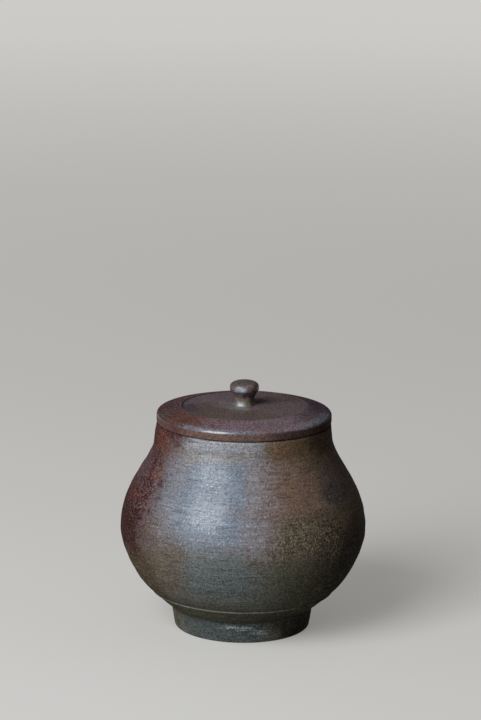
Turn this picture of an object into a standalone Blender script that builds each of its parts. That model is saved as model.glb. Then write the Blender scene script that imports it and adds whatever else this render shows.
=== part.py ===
"""A lidded stoneware tea canister: thrown jar, foot ring, lid plate, lid flange and knob.

Units are metres and +Z is up. The origin is the centre of the foot, on the surface that it stands on.
"""

import math

import bmesh
import bpy
from mathutils import Vector
from mathutils.geometry import interpolate_bezier

# Jar, outside, from the foot upwards
FOOT_HEIGHT = 0.0092
UNDERCUT_RISE = 0.0070
UNDERCUT_REACH = 0.0082
UNDERCUT_LEAN = math.radians(65)
TURNED_LINE_WIDTH = 0.0010
TURNED_LINE_STAND = 0.0005
LOWER_BELLY_HEIGHT = 0.0252
BELLY_RADIUS = 0.0500
SHOULDER_HEIGHT = 0.0396
NECK_RADIUS = 0.0357
COLLAR_HEIGHT = 0.0044
RIM_TUCK = 0.0003
RIM_EDGE_ROUND = 0.0008

# How far each smooth curve holds its starting direction, as a share of the height that it covers
SHOULDER_PULL_SHARE = 0.49
NECK_PULL_SHARE = 0.29
LOWER_BELLY_PULL_SHARE = 0.33
UNDERSIDE_PULL_SHARE = 0.20

# Jar, inside
WALL = 0.0040
FLOOR_THICKNESS = 0.0040
MOUTH_EDGE_ROUND = 0.0012
FLOOR_FLAT_SHARE = 0.62

# Foot ring
FOOT_RADIUS = 0.0290
FOOT_TAPER = 0.0014
FOOT_WALL = 0.0054
FOOT_OUTER_ROUND = 0.0008
FOOT_INNER_ROUND = 0.0010
FOOT_INNER_TAPER = 0.0010
UNDERSIDE_ARCH = 0.0040

# Lid plate
LID_OVERHANG = 0.0001
LID_EDGE_HEIGHT = 0.0040
LID_UPPER_ROUND = 0.0011
LID_LOWER_ROUND = 0.0006
BORDER_WIDTH = 0.0100
BORDER_RISE = 0.0026
STEP_DEPTH = 0.0006
STEP_WIDTH = 0.0005
PANEL_DOME = 0.0008
PANEL_RING_SHARES = (0.3, 0.5, 0.75, 1.0)
LID_HOLLOW_DEPTH = 0.0014
LID_HOLLOW_CORNER = 0.0010

# Lid flange
FLANGE_CLEARANCE = 0.0008
FLANGE_DEPTH = 0.0070
FLANGE_WALL = 0.0032
FLANGE_TAPER = 0.0005
FLANGE_ROUND = 0.0008

# Knob, from its seat upwards
KNOB_SEAT_DEPTH = 0.0010
KNOB_SEAT_SHARE = 0.80
KNOB_WAIST_RADIUS = 0.0037
KNOB_WAIST_HEIGHT = 0.0018
KNOB_FLARE = 0.0008
KNOB_TAPER_HEIGHT = 0.0042
KNOB_TAPER_SPREAD = 0.0015
KNOB_BAND_HEIGHT = 0.0018
KNOB_BAND_SPREAD = 0.0007
KNOB_CROWN_HEIGHT = 0.0022
KNOB_CROWN_PULL_SHARE = 0.79

# Gap between pieces that touch
SEAT_GAP = 0.0003

# Heights and radii that follow from these sizes
TURNED_LINE_HEIGHT = FOOT_HEIGHT + UNDERCUT_RISE
TURNED_LINE_RADIUS = FOOT_RADIUS + UNDERCUT_REACH
BELLY_HEIGHT = TURNED_LINE_HEIGHT + LOWER_BELLY_HEIGHT
NECK_HEIGHT = BELLY_HEIGHT + SHOULDER_HEIGHT
RIM_HEIGHT = NECK_HEIGHT + COLLAR_HEIGHT
RIM_RADIUS = NECK_RADIUS - RIM_TUCK
MOUTH_RADIUS = RIM_RADIUS - WALL
FOOT_BASE_RADIUS = FOOT_RADIUS - FOOT_TAPER
FOOT_INNER_RADIUS = FOOT_BASE_RADIUS - FOOT_WALL
LID_RADIUS = RIM_RADIUS + LID_OVERHANG
LID_UNDERSIDE_HEIGHT = RIM_HEIGHT + SEAT_GAP
LID_CREST_HEIGHT = LID_UNDERSIDE_HEIGHT + LID_EDGE_HEIGHT
STEP_RADIUS = LID_RADIUS - BORDER_WIDTH
STEP_HEIGHT = LID_CREST_HEIGHT + BORDER_RISE
PANEL_RADIUS = STEP_RADIUS - STEP_WIDTH
FLANGE_RADIUS = MOUTH_RADIUS - FLANGE_CLEARANCE
FLANGE_INNER_RADIUS = FLANGE_RADIUS - FLANGE_WALL

# Facets
LARGE_TURN_STEPS = 56
SMALL_TURN_STEPS = 32
CURVE_STEPS = 10
ROUND_STEPS = 3
SHARP_ANGLE = math.radians(40)


def clear_scene():
    for obj in list(bpy.data.objects):
        bpy.data.objects.remove(obj, do_unlink=True)


def clay(name, colour, roughness):
    material = bpy.data.materials.new(name)
    material.use_nodes = True
    shader = material.node_tree.nodes["Principled BSDF"]
    shader.inputs["Base Color"].default_value = (*colour, 1)
    shader.inputs["Roughness"].default_value = roughness
    shader.inputs["Metallic"].default_value = 0
    return material


def smooth_curve(start, start_pull, end_pull, end, steps=CURVE_STEPS):
    """Points along one Bezier curve. The two pulls are the offsets of its handles."""
    points = [Vector((radius, height, 0)) for radius, height in (start, start_pull, end_pull, end)]
    points[1] += points[0]
    points[2] += points[3]
    return [(point.x, point.y) for point in interpolate_bezier(*points, steps + 1)]


def rounded(before, corner, after, radius, steps=ROUND_STEPS):
    """The points of a fillet that rounds the corner between its two neighbours."""
    here = Vector(corner)
    to_before = (Vector(before) - here).normalized()
    to_after = (Vector(after) - here).normalized()
    half = to_before.angle(to_after) / 2
    reach = radius / math.tan(half)
    centre = here + (to_before + to_after).normalized() * (radius / math.sin(half))
    first = here + to_before * reach - centre
    last = here + to_after * reach - centre
    sweep = first.angle_signed(last)
    points = []
    for step in range(steps + 1):
        angle = -sweep * step / steps
        turned = Vector(
            (
                first.x * math.cos(angle) - first.y * math.sin(angle),
                first.x * math.sin(angle) + first.y * math.cos(angle),
            )
        )
        points.append(tuple(centre + turned))
    return points


def outline(*corners):
    """Joins (radius, height) corners into one outline. A corner with a third value is rounded by it."""
    points = []
    for index, corner in enumerate(corners):
        if len(corner) == 3:
            before = corners[index - 1][:2]
            after = corners[(index + 1) % len(corners)][:2]
            points += rounded(before, corner[:2], after, corner[2])
        else:
            points.append(tuple(corner))
    return points


def inset(points, distance):
    """Moves an open outline inwards, square to its own direction at every point."""
    moved = []
    for index, point in enumerate(points):
        before = Vector(points[max(index - 1, 0)])
        after = Vector(points[min(index + 1, len(points) - 1)])
        along = (after - before).normalized()
        moved.append((point[0] + along.y * distance, point[1] - along.x * distance))
    return moved


def turned_piece(name, profile, material, steps=LARGE_TURN_STEPS):
    """Turns a closed outline, drawn down its outer side, about the Z axis."""
    mesh = bpy.data.meshes.new(name)
    shape = bmesh.new()
    rings = []
    for radius, height in profile:
        if radius == 0:
            rings.append([shape.verts.new((0, 0, height))])
            continue
        ring = []
        for step in range(steps):
            angle = 2 * math.pi * step / steps
            ring.append(shape.verts.new((radius * math.cos(angle), radius * math.sin(angle), height)))
        rings.append(ring)
    for upper, lower in zip(rings, rings[1:] + rings[:1]):
        if len(upper) == len(lower) == 1:
            continue
        for step in range(steps):
            following = (step + 1) % steps
            corners = [upper[step % len(upper)], lower[step % len(lower)]]
            corners += [lower[following % len(lower)], upper[following % len(upper)]]
            shape.faces.new(dict.fromkeys(corners))
    shape.to_mesh(mesh)
    shape.free()
    mesh.shade_smooth()
    mesh.set_sharp_from_angle(angle=SHARP_ANGLE)
    mesh.materials.append(material)
    piece = bpy.data.objects.new(name, mesh)
    bpy.context.collection.objects.link(piece)
    return piece


def underside_height(radius):
    """Height of the jar's underside inside the foot ring. It arches up gently towards the middle."""
    return FOOT_HEIGHT + UNDERSIDE_ARCH * (1 - (radius / FOOT_RADIUS) ** 2)


def panel_height(radius):
    """Height of the lid's sunk middle panel, which is a shallow dome."""
    return STEP_HEIGHT - STEP_DEPTH + PANEL_DOME * (1 - (radius / PANEL_RADIUS) ** 2)


def jar_side():
    """The outside of the jar, from the neck down to the turned line."""
    shoulder_curve = smooth_curve(
        (NECK_RADIUS, NECK_HEIGHT),
        (0, -NECK_PULL_SHARE * SHOULDER_HEIGHT),
        (0, SHOULDER_PULL_SHARE * SHOULDER_HEIGHT),
        (BELLY_RADIUS, BELLY_HEIGHT),
    )
    underside_pull = UNDERSIDE_PULL_SHARE * LOWER_BELLY_HEIGHT
    lower_curve = smooth_curve(
        (BELLY_RADIUS, BELLY_HEIGHT),
        (0, -LOWER_BELLY_PULL_SHARE * LOWER_BELLY_HEIGHT),
        (underside_pull * math.sin(UNDERCUT_LEAN), underside_pull * math.cos(UNDERCUT_LEAN)),
        (TURNED_LINE_RADIUS, TURNED_LINE_HEIGHT),
    )
    return shoulder_curve + lower_curve[1:]


def jar_underneath():
    """The raised turned line, the undercut below it and the seat of the foot ring, down to the axis."""
    turned_line = [
        (TURNED_LINE_RADIUS + TURNED_LINE_STAND, TURNED_LINE_HEIGHT - TURNED_LINE_WIDTH / 3),
        (TURNED_LINE_RADIUS, TURNED_LINE_HEIGHT - TURNED_LINE_WIDTH),
    ]
    undercut = smooth_curve(
        turned_line[-1],
        (-UNDERCUT_REACH / 3, -UNDERCUT_RISE / 3),
        (UNDERCUT_REACH / 3, UNDERCUT_RISE / 5),
        (FOOT_RADIUS, underside_height(FOOT_RADIUS)),
        CURVE_STEPS // 2,
    )
    seat = [(radius, underside_height(radius)) for radius in (FOOT_INNER_RADIUS, FOOT_INNER_RADIUS / 2, 0)]
    return turned_line + undercut[1:] + seat


def jar_inside(side):
    """The inside of the jar, from the middle of the floor up to the neck. It keeps one wall thickness."""
    floor_height = underside_height(0) + FLOOR_THICKNESS
    wall = [point for point in inset(side, WALL) if point[1] > floor_height]
    wall[0] = (MOUTH_RADIUS, NECK_HEIGHT)
    foot_of_wall = wall[-1]
    floor = smooth_curve(
        (0, floor_height),
        (foot_of_wall[0] * FLOOR_FLAT_SHARE, 0),
        (-WALL, -WALL),
        foot_of_wall,
        CURVE_STEPS // 2,
    )
    return floor + wall[::-1][1:]


def make_jar_body():
    side = jar_side()
    rim = outline(
        (MOUTH_RADIUS, NECK_HEIGHT),
        (MOUTH_RADIUS, RIM_HEIGHT, MOUTH_EDGE_ROUND),
        (RIM_RADIUS, RIM_HEIGHT, RIM_EDGE_ROUND),
        (NECK_RADIUS, NECK_HEIGHT),
    )[1:-1]
    profile = rim + side + jar_underneath() + jar_inside(side)
    return turned_piece("jar_body", profile, clay("jar_clay", (0.24, 0.19, 0.15), 0.55))


def make_foot_ring():
    profile = outline(
        (FOOT_INNER_RADIUS, underside_height(FOOT_INNER_RADIUS) - SEAT_GAP),
        (FOOT_RADIUS, FOOT_HEIGHT - SEAT_GAP),
        (FOOT_BASE_RADIUS, 0, FOOT_OUTER_ROUND),
        (FOOT_INNER_RADIUS + FOOT_INNER_TAPER, 0, FOOT_INNER_ROUND),
    )
    return turned_piece("foot_ring", profile, clay("foot_clay", (0.20, 0.19, 0.16), 0.6))


def make_lid_plate():
    seat_radius = knob_seat_radius() + SEAT_GAP
    seat_height = panel_height(0) - KNOB_SEAT_DEPTH - SEAT_GAP
    hollow_height = LID_UNDERSIDE_HEIGHT + LID_HOLLOW_DEPTH
    profile = outline(
        (0, seat_height),
        (seat_radius, seat_height),
        (seat_radius, panel_height(seat_radius)),
        *[(PANEL_RADIUS * share, panel_height(PANEL_RADIUS * share)) for share in PANEL_RING_SHARES],
        (STEP_RADIUS, STEP_HEIGHT),
        (LID_RADIUS, LID_CREST_HEIGHT, LID_UPPER_ROUND),
        (LID_RADIUS, LID_UNDERSIDE_HEIGHT, LID_LOWER_ROUND),
        (FLANGE_INNER_RADIUS, LID_UNDERSIDE_HEIGHT),
        (FLANGE_INNER_RADIUS - LID_HOLLOW_CORNER, hollow_height),
        (0, hollow_height),
    )
    return turned_piece("lid_plate", profile, clay("lid_clay", (0.20, 0.11, 0.09), 0.42))


def make_lid_flange():
    tip_height = RIM_HEIGHT - FLANGE_DEPTH
    profile = outline(
        (FLANGE_INNER_RADIUS, RIM_HEIGHT),
        (FLANGE_RADIUS, RIM_HEIGHT),
        (FLANGE_RADIUS - FLANGE_TAPER, tip_height, FLANGE_ROUND),
        (FLANGE_INNER_RADIUS + FLANGE_TAPER, tip_height, FLANGE_ROUND),
    )
    return turned_piece("lid_flange", profile, clay("flange_clay", (0.26, 0.19, 0.15), 0.6))


def knob_seat_radius():
    """The knob's short stub, which sits in a dimple of the lid."""
    return (KNOB_WAIST_RADIUS + KNOB_FLARE) * KNOB_SEAT_SHARE


def make_knob():
    base = panel_height(0)
    waist = (KNOB_WAIST_RADIUS, base + KNOB_WAIST_HEIGHT)
    lip = (waist[0] + KNOB_TAPER_SPREAD, waist[1] + KNOB_TAPER_HEIGHT)
    widest = (lip[0] + KNOB_BAND_SPREAD, lip[1] + KNOB_BAND_HEIGHT)
    crown = smooth_curve(
        (0, widest[1] + KNOB_CROWN_HEIGHT),
        (widest[0] * KNOB_CROWN_PULL_SHARE, 0),
        (0, KNOB_CROWN_HEIGHT / 2),
        widest,
        CURVE_STEPS // 2,
    )
    taper = smooth_curve(
        lip,
        (-KNOB_TAPER_SPREAD / 3, -KNOB_TAPER_HEIGHT / 3),
        (0, KNOB_TAPER_HEIGHT / 3),
        waist,
        CURVE_STEPS // 2,
    )
    flare = smooth_curve(
        waist,
        (0, -KNOB_WAIST_HEIGHT / 2),
        (-KNOB_FLARE / 2, 0),
        (waist[0] + KNOB_FLARE, base + SEAT_GAP),
        CURVE_STEPS // 3,
    )
    stub_radius = knob_seat_radius()
    stub_height = base - KNOB_SEAT_DEPTH
    stub = [(stub_radius, base + SEAT_GAP), (stub_radius, stub_height), (0, stub_height)]
    profile = crown + taper + flare[1:] + stub
    return turned_piece("knob", profile, clay("knob_clay", (0.18, 0.09, 0.07), 0.35), SMALL_TURN_STEPS)


def main():
    clear_scene()
    make_jar_body()
    make_foot_ring()
    lid = bpy.data.objects.new("lid_axis", None)
    lid.location.z = RIM_HEIGHT
    bpy.context.collection.objects.link(lid)
    for piece in (make_lid_plate(), make_lid_flange(), make_knob()):
        piece.parent = lid
        piece.matrix_parent_inverse.translation.z = -RIM_HEIGHT


main()
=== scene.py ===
import math

import bpy
import numpy as np
from bpy.props import FloatProperty, FloatVectorProperty, PointerProperty
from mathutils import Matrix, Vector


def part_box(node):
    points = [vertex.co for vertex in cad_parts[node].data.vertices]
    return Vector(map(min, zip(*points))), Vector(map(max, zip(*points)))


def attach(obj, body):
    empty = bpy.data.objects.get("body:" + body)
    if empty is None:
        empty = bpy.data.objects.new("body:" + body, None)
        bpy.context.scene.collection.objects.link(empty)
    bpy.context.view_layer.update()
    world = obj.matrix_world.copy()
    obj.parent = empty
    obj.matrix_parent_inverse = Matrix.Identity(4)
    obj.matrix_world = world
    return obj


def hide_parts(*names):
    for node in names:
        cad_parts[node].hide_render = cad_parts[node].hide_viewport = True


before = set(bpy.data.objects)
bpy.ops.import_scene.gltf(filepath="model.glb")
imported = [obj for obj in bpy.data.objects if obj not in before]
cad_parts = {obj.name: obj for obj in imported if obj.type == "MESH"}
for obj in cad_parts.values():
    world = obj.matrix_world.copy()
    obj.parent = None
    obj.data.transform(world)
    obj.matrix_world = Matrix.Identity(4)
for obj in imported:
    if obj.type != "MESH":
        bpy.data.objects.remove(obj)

bl_info = {
    "name": "Stoneware tea canister",
    "version": (1, 0, 0),
    "blender": (4, 5, 0),
    "location": "3D View > Sidebar > Canister",
    "description": "Makes a wood-fired tea canister piece by piece, with its clay and a plain stage",
    "category": "Add Mesh",
}

MM = 0.001

# How finely the clay is drawn: turn steps round each piece, and the length of a step down its side
JAR_TURN = 264
FOOT_TURN = 224
LID_TURN = 256
FLANGE_TURN = 192
KNOB_TURN = 128
FINE_STEP = 0.18 * MM
SIDE_STEP = 0.34 * MM
SEAT_STEP = 0.8 * MM
INNER_STEP = 1.6 * MM
HIDDEN_STEP = 4 * MM

# Rows that a curve is worked out in before they are spaced evenly. A panel is straight beyond its inner rows.
CURVE_ROWS = 500
UNDERSIDE_ROWS = 9
PANEL_ROWS = 200
PANEL_INNER_ROWS = 160

# How pieces meet. The outline of a ring starts and closes on its hidden top, just out from its inner wall.
BURIED = 0.05 * MM
HIDDEN_ROUND = 0.05 * MM
RING_START = 1 * MM
FOOT_SEAT = 0.35 * MM
FLANGE_SEAT = 0.3 * MM
KNOB_SEAT = 0.6 * MM

# The jar's small shapes. A pull is the share of a drop in height that holds a curve's first direction.
SHOULDER_PULL = 0.49
NECK_PULL = 0.29
LOWER_PULL = 0.33
UNDERSIDE_PULL = 0.20
UNDERCUT_LEAN = math.radians(65)
FLOOR_FLAT = 0.62
RIM_TUCK = 0.3 * MM
MOUTH_ROUND = 1.2 * MM
RIM_ROUND = 0.8 * MM
LINE_WIDTH = 0.75 * MM
LINE_INSET = 0.1 * MM
LINE_FULLNESS = 1.4

# The foot ring's small shapes
FOOT_FLARE = 1.1 * MM
FOOT_FLARE_ROUND = 1.2 * MM
FOOT_TUCK = 0.1 * MM
FOOT_OUTER_ROUND = 0.8 * MM
FOOT_INNER_ROUND = 1 * MM
FOOT_INNER_TAPER = 1 * MM
FOOT_TOP_FALL = 0.3 * MM

# The small shapes of the lid and its flange
STEP_WIDTH = 0.5 * MM
STEP_ROUND = 0.5 * MM
CREST_ROUND = 1.6 * MM
EDGE_ROUND = 0.6 * MM
HOLLOW_DEPTH = 1.4 * MM
HOLLOW_SLOPE = 1 * MM
HOLLOW_BORDER = 4 * MM
HOLLOW_ROUND = 0.5 * MM
HOLLOW_EDGE_ROUND = 0.3 * MM
FLANGE_TAPER = 0.5 * MM
FLANGE_TIP_ROUND = 0.9 * MM

# The knob's small shapes. Its lip is measured from its waist, and its widest place from its lip.
WAIST_RISE = 1.8 * MM
LIP_RISE = 3.8 * MM
LIP_SPREAD = 1.45 * MM
WIDEST_RISE = 1.7 * MM
CROWN_FULLNESS = 0.74
CROWN_DROP = 0.6
BAND_PULLS = (0, -0.9 * MM), (0.35 * MM, 0.5 * MM)
TAPER_PULLS = (-0.6 * MM, -0.9 * MM), (0.15 * MM, 1.6 * MM)
FLARE_PULLS = (0, -1.1 * MM), (-0.9 * MM, 0.05 * MM)

# What the potter's hand leaves: rings with their pitch and depth, and how far a piece leaves a true circle
JAR_RINGS = (6.1 * MM, 0.07 * MM)
JAR_FINE_RINGS = (1.7 * MM, 0.022 * MM)
JAR_WANDER = 0.12 * MM
NECK_FULLNESS = 0.55 * MM
NECK_REACH = 3.4 * MM
LINE_TILT = 0.28 * MM
LINE_REACH = 2.5 * MM
FOOT_RINGS = (2.3 * MM, 0.03 * MM)
FOOT_WANDER = 0.06 * MM
LID_RINGS = (1.9 * MM, 0.014 * MM)
LID_WANDER = 0.05 * MM
FLANGE_RINGS = (2.1 * MM, 0.02 * MM)
KNOB_WANDER = 0.012

# The photograph's camera, fitted on the jar's outline
CAMERA_PLACE = (0, -1.10384, 0.36188)
CAMERA_PITCH = math.radians(12.809)
CAMERA_YAW = math.radians(-0.089)
CAMERA_ROLL = math.radians(0.619)
CAMERA_LENS = 140
CAMERA_SENSOR = 36

# The stage. The floor throws back less light than it shows, and its glow evens out what the camera sees.
FLOOR_REACH = 8
FLOOR_BOUNCE = (0.25, 0.25, 0.245)
FLOOR_ROUGHNESS = 0.9
NEAR_GLOW = 0.35
FAR_GLOW = 0.85
GLOW_FROM = 0.1
GLOW_TO = 2.6
KEY_DISTANCE = 1.5
KEY_WIDTH = 0.85
KEY_HEIGHT = 1.3


def srgb(red, green, blue):
    """A colour as a screen shows it, 0 to 255, turned into light."""
    return tuple(
        value / 255 / 12.92 if value < 10.3 else ((value / 255 + 0.055) / 1.055) ** 2.4
        for value in (red, green, blue)
    )


def length(name, description, default):
    return FloatProperty(
        name=name, description=description, default=default, min=0, unit="LENGTH", precision=4
    )


def tone(name, description, red, green, blue):
    light = srgb(red, green, blue)
    return FloatVectorProperty(
        name=name, description=description, default=light, min=0, max=1, subtype="COLOR"
    )


def turn(name, description, degrees):
    return FloatProperty(name=name, description=description, default=math.radians(degrees), subtype="ANGLE")


def strength(name, description, default):
    return FloatProperty(name=name, description=description, default=default, min=0)


LID_LOW, LID_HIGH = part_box("lid_plate")
JAR_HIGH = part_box("jar_body")[1]
KNOB_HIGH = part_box("knob")[1]


class CanisterJarSizes(bpy.types.PropertyGroup):
    belly_radius: length("Belly radius", "Widest radius of the jar", 50 * MM)
    belly_height: length("Belly height", "Height of the widest place", 41.4 * MM)
    neck_radius: length("Neck radius", "Radius of the narrow neck under the rim", 35.7 * MM)
    neck_height: length("Neck height", "Height at which the neck starts", 81.0 * MM)
    rim_height: length("Rim height", "Height of the rim that carries the lid", JAR_HIGH.z)
    wall: length("Wall", "Thickness of the thrown wall", 4 * MM)
    floor: length("Floor", "Thickness of the floor inside", 4 * MM)
    line_radius: length("Turned line radius", "Radius of the line turned above the foot", 37.2 * MM)
    line_height: length("Turned line height", "Height of the line turned above the foot", 16.2 * MM)
    line_stand: length("Turned line stand", "How far the turned line stands proud", 0.45 * MM)
    foot_radius: length("Foot radius", "Outer radius of the foot ring where it meets the jar", 29 * MM)
    foot_taper: length("Foot taper", "How much narrower the foot ring is where it stands", 1.4 * MM)
    foot_wall: length("Foot wall", "Width of the foot ring where it stands", 5.4 * MM)
    foot_height: length("Foot height", "Height of the foot ring", 9.2 * MM)
    underside_arch: length("Underside arch", "How far the jar's underside arches up inside the foot", 4 * MM)


class CanisterLidSizes(bpy.types.PropertyGroup):
    lid_radius: length("Lid radius", "Outer radius of the lid", LID_HIGH.x)
    edge_height: length("Edge height", "Height of the lid's upright edge", 4 * MM)
    border_width: length("Border width", "Width of the sloping border", 10 * MM)
    border_rise: length("Border rise", "How far the border climbs towards the middle", 2.6 * MM)
    step_depth: length("Step depth", "How deep the middle panel is sunk", 0.55 * MM)
    panel_dome: length("Panel dome", "How far the sunk panel swells in its middle", 0.8 * MM)
    flange_radius: length("Flange radius", "Outer radius of the ring that drops into the mouth", 30.6 * MM)
    flange_wall: length("Flange wall", "Thickness of that ring", 3.2 * MM)
    flange_depth: length("Flange depth", "How far that ring reaches below the rim", 7 * MM)
    knob_radius: length("Knob radius", "Widest radius of the knob's head", KNOB_HIGH.x)
    waist_radius: length("Knob waist", "Radius of the knob where it is narrowest", 4.0 * MM)
    knob_flare: length("Knob flare", "How far the knob spreads where it meets the lid", 1.0 * MM)


class CanisterClay(bpy.types.PropertyGroup):
    body: tone("Clay", "Warm brown of the bare clay", 122, 104, 90)
    body_dark: tone("Dark clay", "Darker clouds in the bare clay", 106, 90, 76)
    back: tone("Back", "Dark brown of the side away from the camera", 84, 70, 60)
    # Olive brown is mostly painted shade, on the right side of the jar and of the foot
    olive: tone("Olive brown", "Shaded right side low down, without ash", 40, 31, 18)
    # Umber is partly painted shade, on the right of the collar under the lid
    umber_and_shade: tone("Umber", "Dark red-brown on the right under the lid", 66, 47, 38)
    # Rosy brown also paints a small highlight on the knob
    rose_and_highlight: tone("Rosy brown", "Rosy brown between bloom and crust", 132, 110, 98)
    # Cool ash is partly painted highlight: the jar's bloom core, the lid's crest and its right edge
    cool_ash_and_sheen: tone("Cool ash", "Bluish ash bloom on the front", 124, 136, 150)
    # Silver ash is partly painted sheen and light: on the knob's head, round the knob and on the lid's right
    # border
    silver_ash_and_sheen: tone("Silver ash", "Pale mauve-grey ash beside the bloom", 142, 138, 143)
    collar_ash: tone("Collar ash", "Pale ash on the neck in front", 162, 163, 167)
    # Straw ash also paints a highlight on the lid's panel in front of the knob
    straw_ash_and_highlight: tone("Straw ash", "Warm beige ash under the neck", 154, 147, 134)
    low_bloom: tone("Low bloom", "Blue-grey ash low on the front", 106, 116, 117)
    green_ash: tone("Green ash", "Grey-green ash low on the jar", 108, 109, 98)
    warm_ash: tone("Warm ash", "Warm grey ash low on the left", 112, 98, 84)
    ochre: tone("Ochre", "Yellowish brown on the right of the neck", 124, 100, 72)
    rust: tone("Rust", "Rusty patches on the right", 124, 94, 74)
    khaki: tone("Khaki", "Yellow-grey crust on the right of the belly", 98, 91, 70)
    slate: tone("Slate", "Dark blue-grey mark on the right of the shoulder", 64, 62, 66)
    moss: tone("Moss", "Dull olive low on the right", 84, 80, 54)
    tan: tone("Tan", "Tan edge of the flashing near the foot", 88, 71, 52)
    flash: tone("Flashing", "Red-brown flashing on the left", 74, 38, 37)
    flash_violet: tone("Flashing edge", "Violet brown where flashing meets ash", 106, 89, 93)
    # Dark flashing is also painted shade, on the right of the knob and of the lid's edge
    flash_dark_and_shade: tone("Dark flashing", "Dark red-brown low on the left", 52, 29, 24)
    ember: tone("Ember", "Orange-brown spots in the flashing", 112, 64, 42)
    pale_speck: tone("Pale specks", "Fine grains of ash and feldspar", 176, 172, 164)
    # Glassy specks are partly painted glints, and they paint the knob's highlights
    glass_speck_and_glint: tone("Glassy specks", "Bluish grains and flakes of molten ash", 196, 208, 217)
    straw_speck: tone("Straw specks", "Fine yellowish grains in the crust", 178, 170, 144)
    # Iron specks also paint the shade line in the lid's step
    iron_speck_and_shade: tone("Iron specks", "Fine dark spots of iron", 38, 30, 25)
    lid_red: tone("Lid red", "Red-brown of the lid's border", 84, 50, 44)
    lid_ember: tone("Lid ember", "Brighter red-brown at the front left of the lid", 106, 66, 56)
    # Lid mauve is partly painted sheen, on the border in front and on the panel
    lid_mauve_and_sheen: tone("Lid mauve", "Ash-dusted mauve on the lid", 126, 106, 114)
    # Lid dark is partly painted shade: the lid's right side and the left end of its panel
    lid_dark_and_shade: tone("Lid dark", "Purple-brown of the lid's shaded side", 72, 62, 72)
    lid_side: tone("Lid side", "Tan-brown of the lid's upright edge in front", 112, 86, 76)
    lid_panel: tone("Lid panel", "Olive-brown of the sunk panel", 100, 86, 80)
    knob_tan: tone("Knob tan", "Greyish tan of the knob's waist", 116, 106, 92)
    foot_blue: tone("Foot ash", "Bluish grey ash in front on the foot", 80, 90, 90)
    inside: tone("Inside clay", "Unmarked clay inside the jar", 120, 98, 80)


class CanisterStage(bpy.types.PropertyGroup):
    floor: tone("Floor", "Colour of the pale floor", 205, 203, 199)
    key_colour: tone("Key colour", "Colour of the main light, a little cool", 248, 251, 255)
    key_strength: strength("Key light", "Strength of the main light", 1.0)
    fill_strength: strength("Fill light", "Strength of the light all round", 0.12)
    key_azimuth: turn("Key azimuth", "Direction of the main light, left of the camera", 40)
    key_elevation: turn("Key elevation", "Height of the main light over the floor", 32)


# Outlines are rows of (radius, height), drawn from the axis inside, over the rim and down the outer side.


def evenly(points, step):
    """The same outline with its rows a given step apart."""
    points = np.array(points, float)
    travelled = np.concatenate(([0], np.cumsum(np.linalg.norm(np.diff(points, axis=0), axis=1))))
    count = max(2, math.ceil(travelled[-1] / step) + 1)
    stops = np.linspace(0, travelled[-1], count)
    return np.stack([np.interp(stops, travelled, points[:, axis]) for axis in (0, 1)], axis=1)


def curve(start, start_pull, end_pull, end, step=SIDE_STEP):
    """A Bezier curve. The two pulls are the offsets of its handles."""
    start, end = np.array(start, float), np.array(end, float)
    corners = (start, start + start_pull, end + end_pull, end)
    share = np.linspace(0, 1, CURVE_ROWS)[:, None]
    weights = ((1 - share) ** 3, 3 * share * (1 - share) ** 2, 3 * share**2 * (1 - share), share**3)
    return evenly(sum(weight * corner for weight, corner in zip(weights, corners)), step)


def fillet(before, corner, after, radius):
    """An arc that rounds the corner between its two neighbours."""
    before, corner, after = (np.array(point, float) for point in (before, corner, after))
    to_before = (before - corner) / np.linalg.norm(before - corner)
    to_after = (after - corner) / np.linalg.norm(after - corner)
    half = math.acos(float(np.clip(to_before @ to_after, -1, 1))) / 2
    middle = to_before + to_after
    centre = corner + middle / np.linalg.norm(middle) * (radius / math.sin(half))
    first = corner + to_before * radius / math.tan(half) - centre
    last = corner + to_after * radius / math.tan(half) - centre
    sweep = math.atan2(first[0] * last[1] - first[1] * last[0], first @ last)
    turns = np.linspace(0, sweep, max(5, math.ceil(abs(sweep) * radius / FINE_STEP) + 1))
    across = first[0] * np.cos(turns) - first[1] * np.sin(turns)
    along = first[0] * np.sin(turns) + first[1] * np.cos(turns)
    return list(centre + np.stack([across, along], axis=1))


def bent(corners, step):
    """Straight stretches between (radius, height, rounding) corners. The two ends have no rounding."""
    points = [np.array(corners[0][:2], float)]
    for before, corner, after in zip(corners, corners[1:], corners[2:]):
        arc = fillet(before[:2], corner[:2], after[:2], corner[2])
        points += list(evenly([points[-1], arc[0]], step)[1:]) + arc[1:]
    points += list(evenly([points[-1], corners[-1][:2]], step)[1:])
    return np.array(points)


def chained(*outlines):
    """Joins outlines end to end. A row that repeats the last one is left out."""
    rows = [outlines[0][0]]
    for row in np.concatenate(outlines):
        if np.linalg.norm(row - rows[-1]) > 0.002 * MM:
            rows.append(row)
    return np.array(rows)


def inset(points, distance):
    """An outline moved inwards, square to its own direction."""
    ways = np.gradient(points, axis=0)
    ways /= np.linalg.norm(ways, axis=1)[:, None]
    return points + np.stack([ways[:, 1], -ways[:, 0]], axis=1) * distance


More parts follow.
